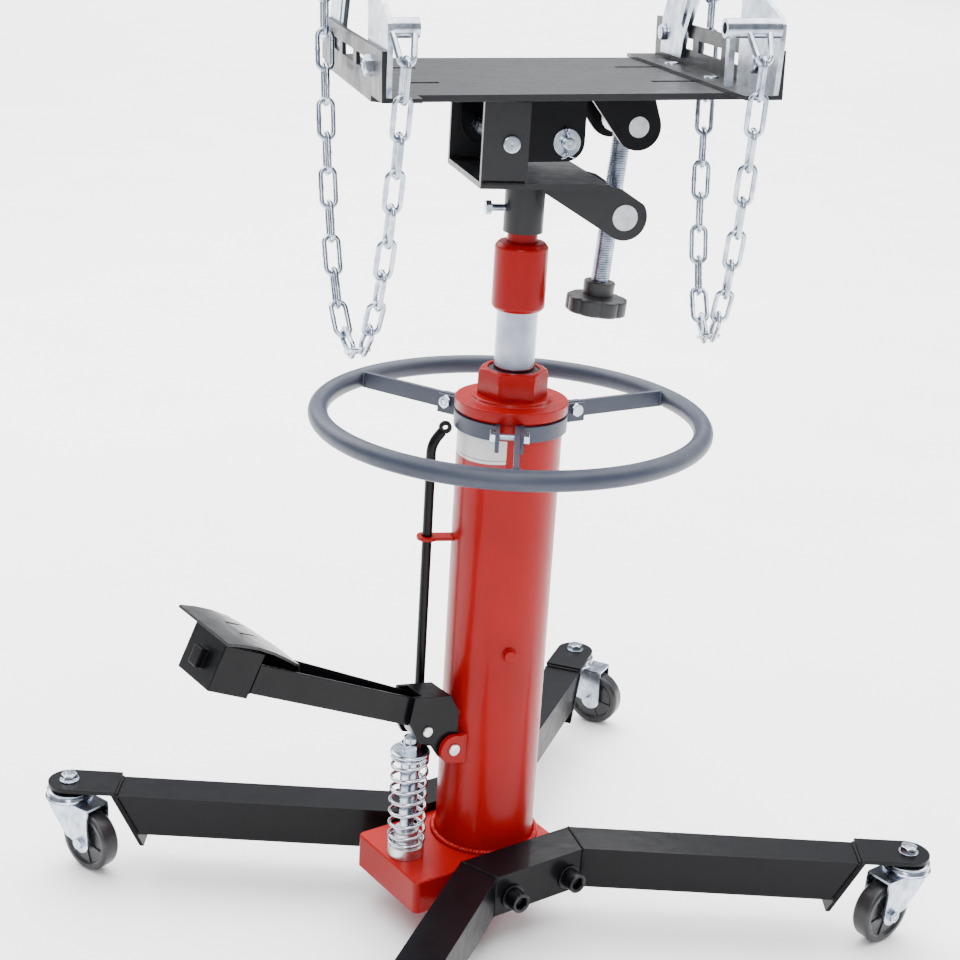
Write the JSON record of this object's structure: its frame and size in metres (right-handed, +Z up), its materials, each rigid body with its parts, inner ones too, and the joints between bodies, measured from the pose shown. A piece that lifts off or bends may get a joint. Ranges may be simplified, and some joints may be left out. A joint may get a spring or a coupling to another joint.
{
  "type": "transmission jack",
  "caption": "Telescopic foot-pump transmission jack with caster base, push ring, tilting saddle, slotted corner brackets and tie-down chains.",
  "frame": {"origin": "on the floor, on the lifting column's axis", "axes": "+Z up along the column; X along the middle runs of the leg beams, with the foot pump at -X; Y across the beams"},
  "size_m": [0.8415, 0.686, 1.0897],
  "materials": {
    "red_paint": "gloss",
    "black_paint": "gloss",
    "grey_powder": "satin",
    "zinc": "bright zinc plate",
    "steel": "turned",
    "spring_steel": "zinc plate",
    "chrome_ram": "polished",
    "red_ram": "gloss",
    "black_steel": "blackened",
    "black_plastic": "satin",
    "wheel_plastic": "satin",
    "seal": "matt"
  },
  "bodies": {
    "base": {"base_block": "red_paint", "front_leg_frame": "black_paint", "rear_leg_frame": "black_paint", "leg_screws": "black_steel", "reservoir_tube": "red_paint", "pressure_cylinder": "steel", "top_cap": "red_paint", "gland_nut": "red_paint", "wiper_seal": "seal", "fill_plug": "red_paint", "pedal_lugs": "red_paint", "pedal_pivot_pin": "steel", "rod_guide": "red_paint", "clamp_band": "grey_powder", "push_ring": "grey_powder", "ring_bolts": "zinc", "pump_cylinder": "steel", "release_valve": "steel", "caster_stem_bolts": "zinc", "pump_spring": "spring_steel"},
    "release_rod": {"release_rod": "black_paint"},
    "plunger": {"pump_plunger": "zinc", "spring_washer": "zinc"},
    "pedal": {"pedal_bracket": "black_paint", "pedal_arm": "black_paint", "foot_plate": "black_paint", "push_roller": "steel"},
    "first_ram": {"first_ram": "chrome_ram", "first_piston": "steel", "ram_collar": "red_paint"},
    "second_ram": {"second_ram": "red_ram"},
    "yoke": {"saddle_yoke": "black_paint", "socket_lock_bolt": "steel", "tilt_pivot_pin": "steel"},
    "lower_trunnion": {"lower_trunnion": "steel"},
    "upper_trunnion": {"upper_trunnion": "steel"},
    "tilt_screw": {"tilt_screw": "steel", "star_knob": "black_plastic"},
    "saddle": {"saddle_plate": "black_paint", "saddle_hangers": "black_paint", "cross_pin": "zinc", "r_clip": "zinc"},
    "left_rail": {"left_rail": "black_paint", "left_front_bracket": "zinc", "left_rear_bracket": "zinc", "left_rail_bolts": "zinc"},
    "left_chain": {"left_chain": "zinc"},
    "right_rail": {"right_rail": "black_paint", "right_front_bracket": "zinc", "right_rear_bracket": "zinc", "right_rail_bolts": "zinc"},
    "right_chain": {"right_chain": "zinc"},
    "rear_left_caster": {"rear_left_fork": "zinc"},
    "rear_left_wheel": {"rear_left_wheel": "wheel_plastic"},
    "front_right_caster": {"front_right_fork": "zinc"},
    "front_right_wheel": {"front_right_wheel": "wheel_plastic"},
    "rear_right_caster": {"rear_right_fork": "zinc"},
    "rear_right_wheel": {"rear_right_wheel": "wheel_plastic"},
    "front_left_caster": {"front_left_fork": "zinc"},
    "front_left_wheel": {"front_left_wheel": "wheel_plastic"}
  },
  "joints": [
    {"name": "first_ram_lift", "type": "slide", "parent": "base", "child": "first_ram", "axis": [0, 0, 1], "range_m": [-0.055, 0.36]},
    {"name": "second_ram_lift", "type": "slide", "parent": "first_ram", "child": "second_ram", "axis": [0, 0, 1], "range_m": [0, 0.4]},
    {"name": "head_swivel", "type": "hinge", "parent": "second_ram", "child": "yoke", "pos_m": [0, 0, 0.82], "axis": [0, 0, 1], "continuous": true},
    {"name": "saddle_tilt", "type": "hinge", "parent": "yoke", "child": "saddle", "pos_m": [-0.03523, 0.01423, 0.899], "axis": [-0.3746, -0.9272, 0], "range_deg": [-8, 8]},
    {"name": "lower_trunnion_turn", "type": "hinge", "parent": "yoke", "child": "lower_trunnion", "pos_m": [0.08743, -0.03533, 0.8223], "axis": [-0.3746, -0.9272, 0], "range_deg": [-4, 4]},
    {"name": "upper_trunnion_turn", "type": "hinge", "parent": "saddle", "child": "upper_trunnion", "pos_m": [0.09355, -0.0378, 0.9149], "axis": [-0.3746, -0.9272, 0], "range_deg": [-8, 8]},
    {"name": "tilt_screw_turn", "type": "hinge", "parent": "upper_trunnion", "child": "tilt_screw", "pos_m": [0.09355, -0.0378, 0.9149], "axis": [-0.0659, 0.0266, -0.9975], "range_deg": [-2800, 2800]},
    {"name": "pedal_press", "type": "hinge", "parent": "base", "child": "pedal", "pos_m": [-0.069, 0, 0.219], "axis": [0, -1, 0], "range_deg": [0, 25], "stiffness_Nm_per_rad": 25, "springref_deg": -28.65},
    {"name": "pump_stroke", "type": "slide", "parent": "base", "child": "plunger", "axis": [0, 0, -1], "range_m": [0, 0.018], "deforming": ["pump_spring"]},
    {"name": "release_turn", "type": "hinge", "parent": "base", "child": "release_rod", "pos_m": [-0.077, 0.036, 0.3], "axis": [0, 0, 1], "range_deg": [0, 60]},
    {"name": "left_rail_slide", "type": "slide", "parent": "saddle", "child": "left_rail", "axis": [-0.9266, 0.3744, -0.0349], "range_m": [0, 0.01]},
    {"name": "left_chain_swing", "type": "hinge", "parent": "left_rail", "child": "left_chain", "pos_m": [-0.2453, -0.13925, 0.99057], "axis": [0.2496, 0.9605, 0.1233], "range_deg": [0, 8]},
    {"name": "right_rail_slide", "type": "slide", "parent": "saddle", "child": "right_rail", "axis": [0.9266, -0.3744, 0.0349], "range_m": [0, 0.01]},
    {"name": "right_chain_swing", "type": "hinge", "parent": "right_rail", "child": "right_chain", "pos_m": [0.06233, -0.26354, 1.00215], "axis": [-0.5177, -0.8452, -0.1326], "range_deg": [0, 8]},
    {"name": "rear_left_swivel", "type": "hinge", "parent": "base", "child": "rear_left_caster", "pos_m": [-0.384, 0.314, 0.09], "axis": [0, 0, 1], "continuous": true},
    {"name": "rear_left_roll", "type": "hinge", "parent": "rear_left_caster", "child": "rear_left_wheel", "pos_m": [-0.37288, 0.27976, 0.0375], "axis": [0.9511, 0.309, 0], "continuous": true},
    {"name": "front_right_swivel", "type": "hinge", "parent": "base", "child": "front_right_caster", "pos_m": [0.384, -0.314, 0.09], "axis": [0, 0, 1], "continuous": true},
    {"name": "front_right_roll", "type": "hinge", "parent": "front_right_caster", "child": "front_right_wheel", "pos_m": [0.34802, -0.31526, 0.0375], "axis": [0.0349, -0.9994, 0], "continuous": true},
    {"name": "rear_right_swivel", "type": "hinge", "parent": "base", "child": "rear_right_caster", "pos_m": [0.384, 0.314, 0.09], "axis": [0, 0, 1], "continuous": true},
    {"name": "rear_right_roll", "type": "hinge", "parent": "rear_right_caster", "child": "rear_right_wheel", "pos_m": [0.4009, 0.28221, 0.0375], "axis": [0.8829, 0.4695, 0], "continuous": true},
    {"name": "front_left_swivel", "type": "hinge", "parent": "base", "child": "front_left_caster", "pos_m": [-0.384, -0.314, 0.09], "axis": [0, 0, 1], "continuous": true},
    {"name": "front_left_roll", "type": "hinge", "parent": "front_left_caster", "child": "front_left_wheel", "pos_m": [-0.39025, -0.27855, 0.0375], "axis": [-0.9848, -0.1736, 0], "continuous": true}
  ],
  "couplings": [
    {"joint": "lower_trunnion_turn", "follows": "saddle_tilt", "ratio": 0.26},
    {"joint": "upper_trunnion_turn", "follows": "saddle_tilt", "ratio": -0.74},
    {"joint": "tilt_screw_turn", "follows": "saddle_tilt", "ratio": 345.3},
    {"joint": "pump_stroke", "follows": "pedal_press", "m_per_rad": 0.0383}
  ]
}
